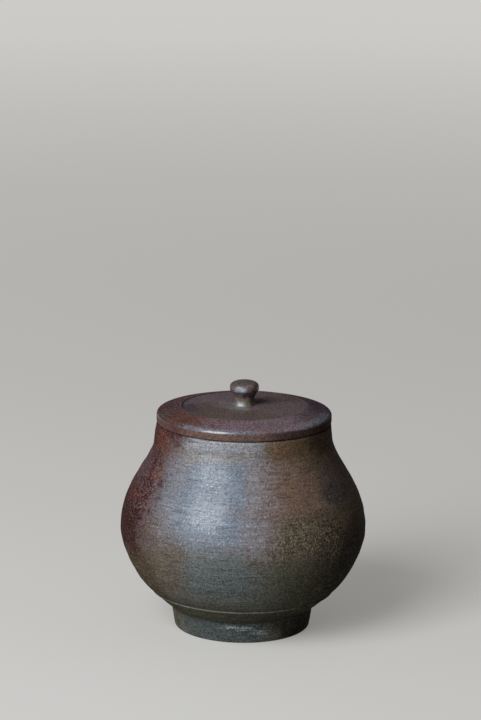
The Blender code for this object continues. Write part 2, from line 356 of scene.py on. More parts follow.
def turned(name, rows, turn_steps, hand):
    """Turns an outline about the Z axis and lets a hand shape it.

    An outline that doesn't reach the axis closes on itself.
    """
    angles = np.arange(turn_steps) * 2 * math.pi / turn_steps
    radius, height = hand(angles[None, :], rows[:, :1], rows[:, 1:])
    radius = np.broadcast_to(radius, (len(rows), turn_steps))
    height = np.broadcast_to(height, (len(rows), turn_steps))
    points, rings = [], []
    for index, row in enumerate(rows):
        if row[0] < 1e-9:
            rings.append(np.full(turn_steps, len(points)))
            points.append((0, 0, float(height[index].mean())))
            continue
        rings.append(len(points) + np.arange(turn_steps))
        across = radius[index] * np.cos(angles), radius[index] * np.sin(angles)
        points += np.stack([*across, height[index]], axis=1).tolist()
    if rows[0][0] > 1e-9:
        rings.append(rings[0])
    faces = []
    for upper, lower in zip(rings, rings[1:]):
        corners = np.stack([upper, lower, np.roll(lower, -1), np.roll(upper, -1)], axis=1)
        faces += [tuple(dict.fromkeys(face)) for face in corners.tolist()]
    mesh = bpy.data.meshes.new(name)
    mesh.from_pydata(points, [], faces)
    mesh.shade_smooth()
    piece = bpy.data.objects.new(name, mesh)
    bpy.context.scene.collection.objects.link(piece)
    return piece


def fade(value, low, high):
    """0 below low, 1 above high, and a smooth rise between."""
    share = np.clip((value - low) / (high - low), 0, 1)
    return share * share * (3 - 2 * share)


def hump(value, middle, reach):
    """1 at the middle, sinking smoothly to nothing on both sides."""
    return np.exp(-(((value - middle) / reach) ** 2))


def finger_rings(angle, travel, rings):
    """Rings that a finger leaves on a turning wall. They climb one pitch with each turn."""
    pitch, depth = rings
    wander = 0.35 * np.sin(3 * angle + travel / (9 * MM)) + 0.2 * np.sin(5 * angle - travel / (4 * MM))
    strength = 0.6 + 0.4 * np.sin(travel / (7.3 * MM) + 2 * np.sin(angle + 1))
    return depth * strength * np.sin(2 * math.pi * travel / pitch + angle + wander)


def finish_piece(piece, material, body, nodes):
    """Dresses a piece and tells the frame which body it rides on and what it stands for."""
    piece.data.materials.append(material)
    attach(piece, body)
    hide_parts(*nodes)


class Signal:
    """One output of a shader node. An expression on it adds Math nodes to its material."""

    def __init__(self, shader, socket):
        self.shader = shader
        self.socket = socket

    def joined(self, operation, first, second):
        return self.shader.add("ShaderNodeMath", {"operation": operation}, {0: first, 1: second})

    def __add__(self, other):
        return self.joined("ADD", self, other)

    def __radd__(self, other):
        return self.joined("ADD", other, self)

    def __sub__(self, other):
        return self.joined("SUBTRACT", self, other)

    def __rsub__(self, other):
        return self.joined("SUBTRACT", other, self)

    def __mul__(self, other):
        return self.joined("MULTIPLY", self, other)

    def __rmul__(self, other):
        return self.joined("MULTIPLY", other, self)

    def __truediv__(self, other):
        return self.joined("DIVIDE", self, other)

    def __rtruediv__(self, other):
        return self.joined("DIVIDE", other, self)


class ClayShader:
    """A clay material under construction, measured in millimetres on the object itself."""

    def __init__(self, name, coat_roughness=0.3, shine=0.0):
        self.material = bpy.data.materials.new(name)
        self.material.use_nodes = True
        self.tree = self.material.node_tree
        self.surface = self.tree.nodes["Principled BSDF"]
        self.colour = None
        self.fill(self.surface, {"Coat Roughness": coat_roughness, "Specular IOR Level": shine})

    def add(self, kind, settings, sockets, output=0):
        """Adds a node. Its settings come first, then the values or links of its sockets."""
        node = self.tree.nodes.new(kind)
        for setting, value in settings.items():
            setattr(node, setting, value)
        self.fill(node, sockets)
        return Signal(self, node.outputs[output])

    def fill(self, node, sockets):
        for key, value in sockets.items():
            if isinstance(value, Signal):
                self.tree.links.new(value.socket, node.inputs[key])
            elif node.inputs[key].type == "RGBA":
                node.inputs[key].default_value = (*value[:3], 1)
            else:
                node.inputs[key].default_value = value

    def patterns(self):
        """What all the clay shares: grit, streaks and lines from the wheel, patches, clouds and sand."""
        place = self.add("ShaderNodeTexCoord", {}, {}, "Object")
        self.place = self.vector("SCALE", {0: place, "Scale": 1 / MM})
        self.grit = self.spread(self.stretched(self.place, 1.0, 1.4), 1.0, 2.0, 0)
        self.streak = self.spread(self.stretched(self.place, 0.14, 1.9), 1.0, 2.0, 5)
        self.line = self.spread(self.stretched(self.place, 0.03, 0.9), 1.0, 3.0, 6, 0.7)
        self.patch = self.spread(self.place, 0.3, 3.0, 7)
        self.cloud = self.spread(self.place, 0.09, 3.0, 9)
        grain, pick, self.sand = self.cells(2.3, 1)
        self.pale = grain * self.rise(pick, 0.70, 0.76)
        self.pits = grain * self.rise(pick, 0.26, 0.20)
        self.crumbs = self.uneven(grit=0.7, streak=0.9, line=0.6, patch=0.9)

    def uneven(self, **amounts):
        """Patterns added up, each swinging about 0 by its own amount."""
        return sum((getattr(self, pattern) - 0.5) * amount for pattern, amount in amounts.items())

    def noise(self, place, scale, detail, roughness, output=0, seed=0):
        sockets = {"Vector": place, "W": seed, "Scale": scale, "Detail": detail, "Roughness": roughness}
        return self.add("ShaderNodeTexNoise", {"noise_dimensions": "4D"}, sockets, output)

    def spread(self, place, scale, detail, seed, roughness=0.6):
        """Noise that reaches from 0 to 1."""
        return self.rise(self.noise(place, scale, detail, roughness, seed=seed), 0.3, 0.7)

    def rise(self, value, low, high):
        """0 at low and 1 at high, with a smooth rise or fall between."""
        sockets = {"Value": value, "From Min": low, "From Max": high}
        return self.add("ShaderNodeMapRange", {"interpolation_type": "SMOOTHSTEP"}, sockets)

    def mix(self, share, first, second, blend="MIX"):
        settings = {"data_type": "RGBA", "blend_type": blend, "clamp_factor": True}
        return self.add("ShaderNodeMix", settings, {0: share, 6: first, 7: second}, 2)

    def shaded(self, colour, amount):
        """The colour made lighter or darker by an amount around 1."""
        grey = self.add("ShaderNodeCombineXYZ", {}, {0: amount, 1: amount, 2: amount})
        return self.mix(1.0, colour, grey, "MULTIPLY")

    def vector(self, operation, sockets, output=0):
        return self.add("ShaderNodeVectorMath", {"operation": operation}, sockets, output)

    def stretched(self, place, across, up):
        return self.vector("MULTIPLY", {0: place, 1: (across, across, up)})

    def drifted(self, place, scale, amount):
        """The same place, pushed about by slow noise, so that marks get uneven edges."""
        push = self.noise(place, scale, 3.0, 0.55, 1)
        centred = self.vector("SUBTRACT", {0: push, 1: (0.5, 0.5, 0.5)})
        return self.vector("ADD", {0: place, 1: self.vector("SCALE", {0: centred, "Scale": amount})})

    def split(self, place):
        node = self.add("ShaderNodeSeparateXYZ", {}, {0: place}).socket.node
        return [Signal(self, socket) for socket in node.outputs]

    def cells(self, scale, seed):
        """Close-set cells: a round grain of uneven size in each, and two chance values for each cell."""
        moved = self.vector("ADD", {0: self.place, 1: (seed * 3.7, seed * 5.3, seed * 2.9)})
        node = self.add("ShaderNodeTexVoronoi", {}, {"Vector": moved, "Scale": scale}).socket.node
        size, pick, value = self.split(Signal(self, node.outputs["Color"]))
        edge = 0.42 + size * 0.28
        return self.rise(Signal(self, node.outputs["Distance"]), edge, edge - 0.25), pick, value

    def grains(self, scale, amount, seed):
        """Scattered grains: 1 on a grain. The amount is the share of cells that hold one."""
        grain, pick, value = self.cells(scale, seed)
        return grain * self.rise(pick, 1 - amount, 1.06 - amount) * (0.5 + value * 0.5)

    def broken(self, mask, depth=0.5):
        """Breaks a soft mask into grit and streaks, as flying ash and flame do."""
        return self.rise(mask + self.crumbs * depth * (mask * (1 - mask) * 4), 0.0, 1.0)

    def wash(self, tone, share):
        """Lays a tone smoothly over the colour so far."""
        self.colour = self.mix(share, self.colour, tone)

    def lay(self, tone, share, mask, depth=0.5):
        """Lays a tone over the colour so far, with the broken edges of ash and flame."""
        self.wash(tone, self.broken(mask, depth) * share)

    def bare(self, clay):
        """The colour of the clay where the fire left few marks."""
        light = 1 + self.uneven(sand=0.3, grit=0.3, streak=0.3)
        colour = self.shaded(self.mix(self.cloud, clay.inside, clay.body), light)
        return self.mix(self.pale * 0.35, colour, clay.pale_speck)

    def close(self, roughness, coat, height):
        """Joins the finished colour and patterns to the surface. height is in millimetres."""
        bump = self.add("ShaderNodeBump", {}, {"Height": height, "Distance": MM, "Strength": 1.0})
        sockets = {"Base Color": self.colour, "Roughness": roughness, "Coat Weight": coat, "Normal": bump}
        self.fill(self.surface, sockets)
        return self.material


class Compass:
    """Finds places on a turned piece, in degrees and millimetres.

    The photograph's camera stands at 0 degrees, and the right is positive. Heights count from the level.
    """

    def __init__(self, shader, place, level=0):
        self.shader = shader
        self.x, self.y, height = shader.split(place)
        self.z = height - level
        self.radius = shader.vector("LENGTH", {0: shader.stretched(place, 1, 0)}, "Value")

    def toward(self, azimuth):
        """1 where the wall faces that way, 0 square to it and -1 behind."""
        angle = math.radians(azimuth)
        return (self.x * math.sin(angle) - self.y * math.cos(angle)) / self.radius

    def near(self, azimuth, inner, outer):
        """1 within inner degrees of that direction, fading out to 0 at outer degrees."""
        low, high = math.cos(math.radians(outer)), math.cos(math.radians(inner))
        return self.shader.rise(self.toward(azimuth), low, high)

    def above(self, height, soft):
        return self.shader.rise(self.z, height - soft, height + soft)

    def below(self, height, soft):
        return self.shader.rise(self.z, height + soft, height - soft)

    def band(self, low, high, soft):
        """1 between two heights, with soft edges."""
        return self.above(low, soft) * self.below(high, soft)


# The marks of the fire stand where the photograph shows them. What follows a form is placed from its sizes.


def jar_clay(clay, jar):
    """Wood-fired clay: red flashing on the left, a cool bloom in front, a gritty crust on the right. The
    bloom's core is partly painted highlight, with glassy specks painted as glints, and the right side has
    painted shade.
    """
    shader = ClayShader("wood_fired_jar", 0.3)
    shader.patterns()
    broken, lay, wash, rise = shader.broken, shader.lay, shader.wash, shader.rise
    grit, streak, line, patch = shader.grit, shader.streak, shader.line, shader.patch
    pale, pits, sand = shader.pale, shader.pits, shader.sand
    fire = Compass(shader, shader.drifted(shader.drifted(shader.place, 0.045, 13), 0.2, 4))
    form = Compass(shader, shader.place)
    line_height = jar.line_height / MM
    neck_height = jar.neck_height / MM

    # The clay, and the quieter marks of the sides and the back
    shader.colour = shader.mix(shader.cloud, clay.body_dark, clay.body)
    wash(clay.back, fire.near(110, 20, 62) * 0.85)
    lay(clay.body_dark, 0.8, fire.near(176, 24, 78))
    lay(clay.rust, 0.6, fire.near(150, 10, 46) * fire.above(58, 12))
    lay(clay.warm_ash, 0.6, fire.near(-146, 10, 40) * fire.band(44, 74, 12))

    # The bloom of ash in front. Its bluish core lies on the key light's highlight and is partly painted
    # highlight.
    lay(clay.rose_and_highlight, 0.7, fire.near(18, 2, 34) * fire.above(50, 10))
    lay(clay.silver_ash_and_sheen, 0.9, fire.near(-14, 6, 44) * fire.above(40, 12))
    lay(clay.cool_ash_and_sheen, 0.9, fire.near(-17, 4, 24) * fire.band(45, 78, 9))

    # The crust, rust and slate on the right
    crust = fire.near(36, 8, 28) * fire.band(38, 58, 7)
    lay(clay.khaki, 0.6, crust)
    lay(clay.rust, 0.6, fire.near(28, 2, 24) * fire.band(52, 76, 8) * patch)
    slate = fire.near(57, 4, 16) * fire.band(60, 66, 3) + fire.near(66, 6, 20) * fire.band(58, 76, 6) * 0.5
    lay(clay.slate, 0.6, slate)

    # The ash low on the jar
    low_ash = fire.below(38, 12)
    lay(clay.green_ash, 0.9, low_ash)
    lay(clay.low_bloom, 0.8, fire.near(-16, 4, 30) * fire.band(22, 44, 7))
    lay(clay.warm_ash, 0.75, fire.near(-42, 4, 22) * fire.band(20, 46, 7))
    lay(clay.moss, 0.8, low_ash * fire.near(50, 8, 46))
    # Painted shade: the right side low down, away from the light, is darkened with olive brown
    wash(clay.olive, fire.near(80, 20, 50) * fire.below(50, 10) * 0.9)
    lay(clay.tan, 0.9, fire.near(-76, 18, 36) * fire.below(42, 8))
    lay(clay.moss, 0.45, fire.below(line_height + 1.8, 5))
    # Painted shade: darker moss under the turned line on the right
    wash(clay.moss, fire.below(line_height - 1, 0.5) * fire.near(40, 20, 60) * 0.4)

    # The collar under the lid
    collar = fire.above(neck_height - 3, 4)
    lay(clay.collar_ash, 0.8, collar * fire.near(-13, 8, 32))
    lay(clay.straw_ash_and_highlight, 0.5, fire.near(-24, 10, 40) * fire.band(neck_height - 6, neck_height - 2, 2))
    lay(clay.ochre, 0.75, collar * fire.near(38, 10, 30))
    lay(clay.rust, 0.6, collar * fire.near(30, 2, 22) * patch)
    lay(clay.moss, 0.6, collar * fire.near(44, 4, 20) * (1 - patch))
    # Dark red-brown on the right under the lid, partly painted shade
    lay(clay.umber_and_shade, 0.85, collar * fire.near(72, 12, 32))

    # The flashing on the left, with its violet edge and its embers
    lay(clay.flash_violet, 0.8, fire.near(-74, 14, 38) * fire.above(42, 10))
    lay(clay.cool_ash_and_sheen, 0.42, fire.near(-39, 5, 18) * fire.band(54, 76, 6))
    spots = fire.near(-60, 2, 18) * fire.band(48, 70, 6) * patch
    spots = spots + fire.near(-50, 3, 13) * fire.above(82, 1.5)
    flash = broken(fire.near(-92, 20, 42) * fire.above(36, 8) + spots * 0.6, 0.8)
    wash(clay.flash, flash * 0.9)
    lay(clay.flash_dark_and_shade, 0.7, fire.near(-80, 10, 28) * fire.band(36, 54, 6))
    lay(clay.flash_violet, 0.45, fire.near(-84, 6, 20) * fire.band(62, 76, 6))
    ember = fire.near(-66, 2, 16) * fire.band(77, 84, 3) + fire.near(-60, 1, 11) * fire.band(67, 73, 2)
    ember = ember + fire.near(-75, 3, 13) * fire.band(55, 62, 4) * 0.7
    wash(clay.ember, rise(ember * (patch + streak), 0.4, 1.2) * 0.7)

    # Light and dark grain
    front = fire.near(-16, 8, 40) * fire.band(44, 90, 10)
    depth = 0.6 + crust * 0.4 + low_ash * 0.2 + flash * 0.35 + collar * 0.1 + fire.near(44, 10, 40) * 0.08
    light = 1 + shader.uneven(sand=depth, grit=0.2 + crust * 0.4, streak=0.3, line=0.18)
    shader.colour = shader.shaded(shader.colour, light - fire.near(-43, 6, 20) * fire.band(41, 52, 6) * 0.14)
    wash(clay.iron_speck_and_shade, pits * (0.35 + crust * 0.3 + low_ash * 0.2 - front * 0.15))
    dusting = fire.near(-54, 6, 24) * fire.band(50, 76, 6)
    wash(clay.pale_speck, pale * (0.25 + dusting * 0.25 + low_ash * 0.15))

    # The bright turned line, and what glitters or stands out singly. The glassy specks in front are painted
    # bright as glints.
    ridge = form.band(line_height - 0.5, line_height, 0.15)
    wash(clay.pale_speck, ridge * fire.near(-14, 16, 90) * (0.05 + grit * 0.3 + patch * 0.2))
    clumps = fire.near(34, 8, 24) * fire.band(43, 52, 5) * (patch + 0.4) + (crust + low_ash) * patch * 0.4
    straw = shader.grains(1.6, 0.6, 2) * broken(clumps)
    wash(clay.straw_speck, straw * 0.9)
    wisps = rise(streak + patch * 0.6, 1.25, 1.5) * fire.near(20, 6, 26) * fire.band(48, 70, 6)
    wash(clay.pale_speck, wisps * 0.45)
    # Glassy specks in the front highlight, painted brighter than the clay as glints
    sparkle_and_glint = shader.grains(1.5, 0.4, 7) * broken(front * 0.8) * rise(line + patch * 0.6, 0.8, 1.2)
    wash(clay.glass_speck_and_glint, sparkle_and_glint * 0.8)
    wash(clay.iron_speck_and_shade, shader.grains(0.8, 0.14, 3) * fire.near(32, 10, 50) * 0.5)

    # The bare clay inside, told apart from the outside by the middle of the wall
    middle = 0
    for term in wall_middle(jar):
        middle = form.z * middle + term
    inside = rise(form.radius - middle, 0.4, -0.4)
    shader.colour = shader.mix(inside, shader.colour, shader.bare(clay))

    roughness = 0.5 + crust * 0.1 + flash * 0.1 + shader.uneven(grit=0.2, sand=0.15)
    glint = fire.near(-17, 1, 16) * (fire.band(54, 60, 4) + fire.band(70, 72, 2) * 0.6)
    glassy = 0.1 + grit * 0.4 + sand * 0.7 + streak * 0.4 + pale * 0.6
    coat = 0.05 + (front * 0.65 + glint * 0.5) * glassy * (1 - inside)
    height = grit * 0.08 + sand * 0.05 + streak * 0.05 + line * 0.06 + patch * 0.05
    height = height - pits * 0.06 + (pale + straw + sparkle_and_glint) * 0.06
    return shader.close(roughness, coat, height)


def foot_clay(clay, jar):
    """Grey-green ash over dark clay, with painted shade at its top under the turned line and on its right,
    and shiny flakes in front painted bright as glints.
    """
    shader = ClayShader("ash_grey_foot", 0.25)
    shader.patterns()
    lay, wash = shader.lay, shader.wash
    fire = Compass(shader, shader.drifted(shader.place, 0.08, 5))
    shader.colour = shader.mix(shader.cloud, clay.moss, clay.green_ash)
    lay(clay.foot_blue, 0.85, fire.near(-12, 14, 56))
    # Painted shade on the right of the foot, and at its top under the turned line
    lay(clay.olive, 0.85, fire.near(75, 14, 62))
    lay(clay.moss, 0.5, fire.above(jar.foot_height / MM - 1, 2.2))
    lay(clay.green_ash, 0.6, fire.near(24, 3, 14) * fire.below(5.5, 1.5))
    shader.colour = shader.shaded(shader.colour, 1 + shader.uneven(sand=0.7, grit=0.4, streak=0.3))
    wash(clay.iron_speck_and_shade, shader.pits * 0.6)
    wash(clay.pale_speck, shader.pale * 0.3)
    # Shiny flakes in front, painted bright as glints
    above = fire.near(-3, 4, 20) * fire.band(5.6, 7.6, 1)
    beside = fire.near(15, 3, 12) * fire.band(3.2, 5.2, 1)
    clumps = shader.rise(shader.streak + shader.patch + (above + beside) * 1.5, 1.7, 2.2)
    flakes = shader.grains(1.2, 0.75, 4) * clumps
    wash(clay.glass_speck_and_glint, flakes * 0.75 + clumps * 0.12)
    roughness = 0.5 + shader.uneven(grit=0.25) - flakes * 0.22
    height = shader.grit * 0.08 + shader.sand * 0.04 + shader.patch * 0.08 + flakes * 0.08
    return shader.close(roughness, 0.06 + flakes * 0.7, height)


def lid_clay(clay, lid):
    """Red-brown flashing on the border, brighter at the front left, mauve ash, and an olive-brown panel. The
    mauve is partly painted sheen, and painted highlights and shade are laid on the crest, the panel and the
    right side.
    """
    shader = ClayShader("flashed_lid", 0.18)
    shader.patterns()
    broken, lay, wash, rise = shader.broken, shader.lay, shader.wash, shader.rise
    grit, sand, patch, pale = shader.grit, shader.sand, shader.patch, shader.pale
    crest_height = crest_of(lid) / MM
    radius = lid.lid_radius / MM
    step = radius - lid.border_width / MM
    fire = Compass(shader, shader.drifted(shader.place, 0.09, 5), crest_height)
    form = Compass(shader, shader.place, crest_height)

    # The border
    shader.colour = shader.mix(shader.cloud, clay.lid_red, clay.lid_ember)
    # Mauve ash in front, partly painted sheen
    lay(clay.lid_mauve_and_sheen, 0.85, fire.near(8, 22, 60))
    # Painted shade: purple-brown on the right, away from the light
    lay(clay.lid_dark_and_shade, 0.85, fire.near(104, 30, 66))
    lay(clay.lid_dark_and_shade, 0.5, fire.near(180, 30, 80))
    lay(clay.lid_dark_and_shade, 0.5, fire.near(-96, 10, 36))
    lay(clay.lid_ember, 0.7, fire.near(-42, 4, 30) * patch, 0.8)

    # The sunk panel, with painted light round the knob and painted shade and sheen at its ends
    panel = rise(fire.radius, step + 2, step - 2)
    wash(clay.lid_panel, panel * 0.9)
    # Painted shadow of the step's wall at the panel's left end
    wash(clay.lid_dark_and_shade, broken(fire.near(-90, 10, 50)) * panel * rise(fire.radius, 17, 22) * 0.7)
    # Painted sheen at the back of the panel, and painted light at its right end
    wash(clay.lid_mauve_and_sheen, broken(fire.near(-160, 40, 90)) * panel * 0.6)
    wash(clay.lid_mauve_and_sheen, broken(fire.near(72, 20, 50)) * panel * 0.4)
    # Painted highlight in front of the knob's foot, and painted light on the knob's lit side
    lay(clay.straw_ash_and_highlight, 0.5, panel * rise(fire.radius, 16, 4) * fire.near(-10, 6, 40), 0.3)
    lay(clay.silver_ash_and_sheen, 0.4, panel * rise(fire.radius, 16, 6) * fire.near(-50, 40, 100))

    # The upright edge and the crest above it, with painted shade on the right and a painted highlight along
    # the crest and the right edge
    border = 1 - panel
    side = form.below(-0.7, 0.4) * rise(form.radius, radius - 2.5, radius - 1)
    wash(clay.lid_red, side * 0.8)
    lay(clay.lid_side, 0.8, side * fire.near(-14, 14, 40))
    # Painted shade on the right of the upright edge
    wash(clay.flash_dark_and_shade, side * fire.near(76, 36, 70) * 0.8)
    edge = rise(form.radius, radius - 2.3, radius - 0.9) * form.above(-1.9, 0.4)
    lay(clay.flash, 0.5, edge * fire.near(-78, 16, 46))
    # Painted highlight: cool ash along the front of the crest
    crest = rise(form.radius, radius - 2.1, radius - 1.1) * form.band(-1.1, 0.9, 0.3)
    lay(clay.cool_ash_and_sheen, 0.5, crest * fire.near(-20, 12, 34))
    outer_border = rise(form.radius, radius - 5.5, radius - 1.1) * form.above(-1, 0.5)
    # Painted highlight: cool and silver ash on the right of the border
    wash(clay.cool_ash_and_sheen, outer_border * fire.near(62, 2, 30) * 0.33)
    lay(clay.silver_ash_and_sheen, 0.15, (border - side) * fire.near(54, 10, 36))

    # Light and dark grain, faint turning rings, and painted shade as a dark line in the step
    circle = shader.add("ShaderNodeCombineXYZ", {}, {0: fire.radius * 1.6})
    rings = shader.spread(circle, 1.0, 2.0, 21)
    step_shade = rise(form.radius, step - 0.9, step - 0.55) * rise(form.radius, step, step - 0.4)
    light = 1 + shader.uneven(sand=0.6 + border * 0.25, grit=0.25 + border * 0.25) + (rings - 0.5) * 0.35
    shader.colour = shader.shaded(shader.colour, light)
    wash(clay.iron_speck_and_shade, shader.pits * (0.25 + border * 0.2) + step_shade * 0.45)
    wash(clay.pale_speck, pale * (0.15 + border * 0.18 - side * 0.2))

    # The bare clay underneath
    under = fire.below(-2.1, 0.3) * rise(fire.radius, radius - 1.1, radius - 2.1)
    shader.colour = shader.mix(under, shader.colour, shader.bare(clay))

    roughness = 0.42 + panel * 0.06 + shader.uneven(grit=0.25)
    coat = 0.05 + fire.near(-18, 30, 80) * (0.2 + border * 0.3 + crest * 1.2 + pale * 0.3)
    height = (grit * 0.1 + sand * 0.03 + pale * 0.05) * (1 - crest * 0.6) + rings * 0.04 + patch * 0.05
    return shader.close(roughness, coat, height)


def knob_clay(clay):
    """Glossy ash on the rounded head, plum red under it, greyish tan at the waist. The bright ash on the head
    and at its foot is painted highlight, and its right side has painted shade.
    """
    shader = ClayShader("flashed_knob", 0.36, 0.5)
    shader.patterns()
    lay, wash = shader.lay, shader.wash
    fire = Compass(shader, shader.drifted(shader.place, 0.25, 1.2), KNOB_HIGH.z / MM)
    shader.colour = shader.mix(shader.cloud, clay.lid_red, clay.lid_dark_and_shade)
    lay(clay.flash, 0.8, fire.near(-84, 8, 46) * fire.band(-4.1, -1.3, 0.7))
    # Painted shade on the right of the head
    lay(clay.flash_dark_and_shade, 0.8, fire.near(72, 14, 52) * fire.band(-4.7, -2.1, 0.7))
    lay(clay.lid_panel, 0.5, fire.above(-1.3, 0.5))
    # Painted highlight: a small rosy patch on the crown
    lay(clay.rose_and_highlight, 0.7, fire.near(24, 4, 26) * fire.band(-2.3, -1.1, 0.5))
    # Painted highlight: pale ash and bluish-white glassy ash on the front of the head, where the light is
    # reflected
    wash(clay.silver_ash_and_sheen, fire.band(-3.9, -1.5, 0.7) * fire.near(-20, 4, 60) * 0.4)
    gloss_and_highlight = fire.near(-19, 1, 34) * fire.band(-3.6, -2.5, 1.1) * (0.5 + shader.patch * 0.7)
    wash(clay.glass_speck_and_glint, gloss_and_highlight * 0.95)
    wash(clay.flash, fire.band(-6.3, -4.1, 0.5) * 0.8)
    lay(clay.flash_violet, 0.6, fire.band(-6.3, -4.3, 0.6) * fire.near(-60, 30, 70))
    lay(clay.knob_tan, 0.85, fire.below(-6.5, 0.9))
    # Painted shade on the right of the waist
    lay(clay.flash_dark_and_shade, 0.85, fire.below(-4.9, 0.9) * fire.near(86, 20, 66))
    # Painted highlight: glassy ash at the front of the knob's foot
    splash_and_highlight = fire.near(-20, 1, 34) * fire.below(-8.5, 1.2)
    wash(clay.glass_speck_and_glint, splash_and_highlight * 0.5)
    shader.colour = shader.shaded(shader.colour, 1 + shader.uneven(sand=0.5, grit=0.35, patch=0.3))
    wash(clay.pale_speck, shader.pale * 0.3)
    roughness = 0.36 + shader.uneven(grit=0.2)
    height = shader.grit * 0.05 + shader.sand * 0.03 + shader.patch * 0.06
    return shader.close(roughness, 0.35 + gloss_and_highlight * 0.6 + splash_and_highlight * 0.6, height)


def flange_clay(clay):
    """The flange sits inside the jar during the firing and stays bare."""
    shader = ClayShader("bare_flange")
    shader.patterns()
    shader.colour = shader.bare(clay)
    return shader.close(0.62 + shader.uneven(grit=0.2), 0.0, shader.grit * 0.05 + shader.streak * 0.04)


def side_curves(jar):
    """The jar's outer side in two curves: from the neck to the belly, and on to the turned line."""
    shoulder_drop = jar.neck_height - jar.belly_height
    lower_drop = jar.belly_height - jar.line_height
    shoulder = curve(
        (jar.neck_radius, jar.neck_height),
        (0, -NECK_PULL * shoulder_drop),
        (0, SHOULDER_PULL * shoulder_drop),
        (jar.belly_radius, jar.belly_height),
    )
    pull = UNDERSIDE_PULL * lower_drop
    lower = curve(
        (jar.belly_radius, jar.belly_height),
        (0, -LOWER_PULL * lower_drop),
        (pull * math.sin(UNDERCUT_LEAN), pull * math.cos(UNDERCUT_LEAN)),
        (jar.line_radius, jar.line_height),
    )
    return shoulder, lower


def wall_middle(jar):
    """Terms of a cubic that gives the wall's middle radius from the height, both in millimetres."""
    neck = evenly([(jar.neck_radius, jar.rim_height), (jar.neck_radius, jar.neck_height)], SIDE_STEP)
    shoulder, lower = side_curves(jar)
    middle = inset(np.concatenate([neck[:-1], shoulder, lower[1:]]), jar.wall / 2) / MM
    return np.polyfit(middle[:, 1], middle[:, 0], 3).tolist()


def jar_rows(jar):
    """The jar's outline, from the middle of its floor inside, over the rim, to the middle underneath."""
    shoulder, lower = side_curves(jar)
    underside = jar.foot_height + jar.underside_arch
    rim_radius = jar.neck_radius - RIM_TUCK
    mouth_radius = rim_radius - jar.wall
    line_start = (jar.line_radius, jar.line_height)
    line_end = np.array((jar.line_radius - LINE_INSET, jar.line_height - LINE_WIDTH))
    line = curve(line_start, (jar.line_stand, 0), (jar.line_stand * LINE_FULLNESS, 0), line_end, FINE_STEP)
    reach, rise = line_end - (jar.foot_radius, jar.foot_height)
    foot_edge = (jar.foot_radius, jar.foot_height - BURIED)
    undercut = curve(line_end, (-reach / 3, -rise / 3), (reach / 3, rise / 5), foot_edge)
    radii = np.linspace(jar.foot_radius, 0, UNDERSIDE_ROWS)[1:]
    below = np.stack([radii, underside - jar.underside_arch * (radii / jar.foot_radius) ** 2], axis=1)
    rim = bent(
        [
            (mouth_radius, jar.neck_height, 0),
            (mouth_radius, jar.rim_height, MOUTH_ROUND),
            (rim_radius, jar.rim_height, RIM_ROUND),
            (jar.neck_radius, jar.neck_height, 0),
        ],
        SIDE_STEP,
    )
    floor_height = underside + jar.floor
    wall = inset(np.concatenate([shoulder, lower[1:]]), jar.wall)
    wall = wall[wall[:, 1] > floor_height]
    wall[0] = (mouth_radius, jar.neck_height)
    flat = (wall[-1][0] * FLOOR_FLAT, 0)
    floor = curve((0, floor_height), flat, (-jar.wall, -jar.wall), wall[-1], INNER_STEP)
    inside = np.concatenate([floor, evenly(wall[::-1], INNER_STEP)[1:]])
    return chained(inside, rim, shoulder, lower, line, undercut, below)


class CANISTER_OT_jar(bpy.types.Operator):
    """Makes the thrown jar with its belly, neck, rim, turned line and inside"""

    bl_idname = "canister.jar"
    bl_label = "Jar"

    def execute(self, context):
        jar = context.scene.canister_jar
        clay = context.scene.canister_clay

        # The side leaves out the inside, the foot of the wall and the rim that carries the lid.
        def hand(angle, radius, height):
            outer = fade(radius, jar.foot_radius + 3 * MM, jar.foot_radius + 5 * MM)
            neck = fade(radius, jar.neck_radius - 2.7 * MM, jar.neck_radius - 0.7 * MM)
            side = outer * fade(height, jar.line_height + 0.8 * MM, jar.line_height + 5.8 * MM)
            side = side * fade(height, jar.neck_height + 2 * MM, jar.neck_height - 2 * MM)
            left = np.clip(-np.cos(angle), 0, 1)
            fuller = NECK_FULLNESS * left**2 * neck * hump(height, jar.neck_height - 1 * MM, NECK_REACH)
            wander = JAR_WANDER * (np.sin(2 * angle + 0.8 + height * 20) + 0.5 * np.sin(3 * angle + 2.1))
            rings = finger_rings(angle, height, JAR_RINGS) + finger_rings(angle + 2, height, JAR_FINE_RINGS)
            tilt = LINE_TILT * (left - 0.2) * outer * hump(height, jar.line_height - 0.5 * MM, LINE_REACH)
            return radius + fuller + side * (wander + rings), height + tilt

        piece = turned("jar", jar_rows(jar), JAR_TURN, hand)
        finish_piece(piece, jar_clay(clay, jar), "jar", ["jar_body"])
        return {"FINISHED"}


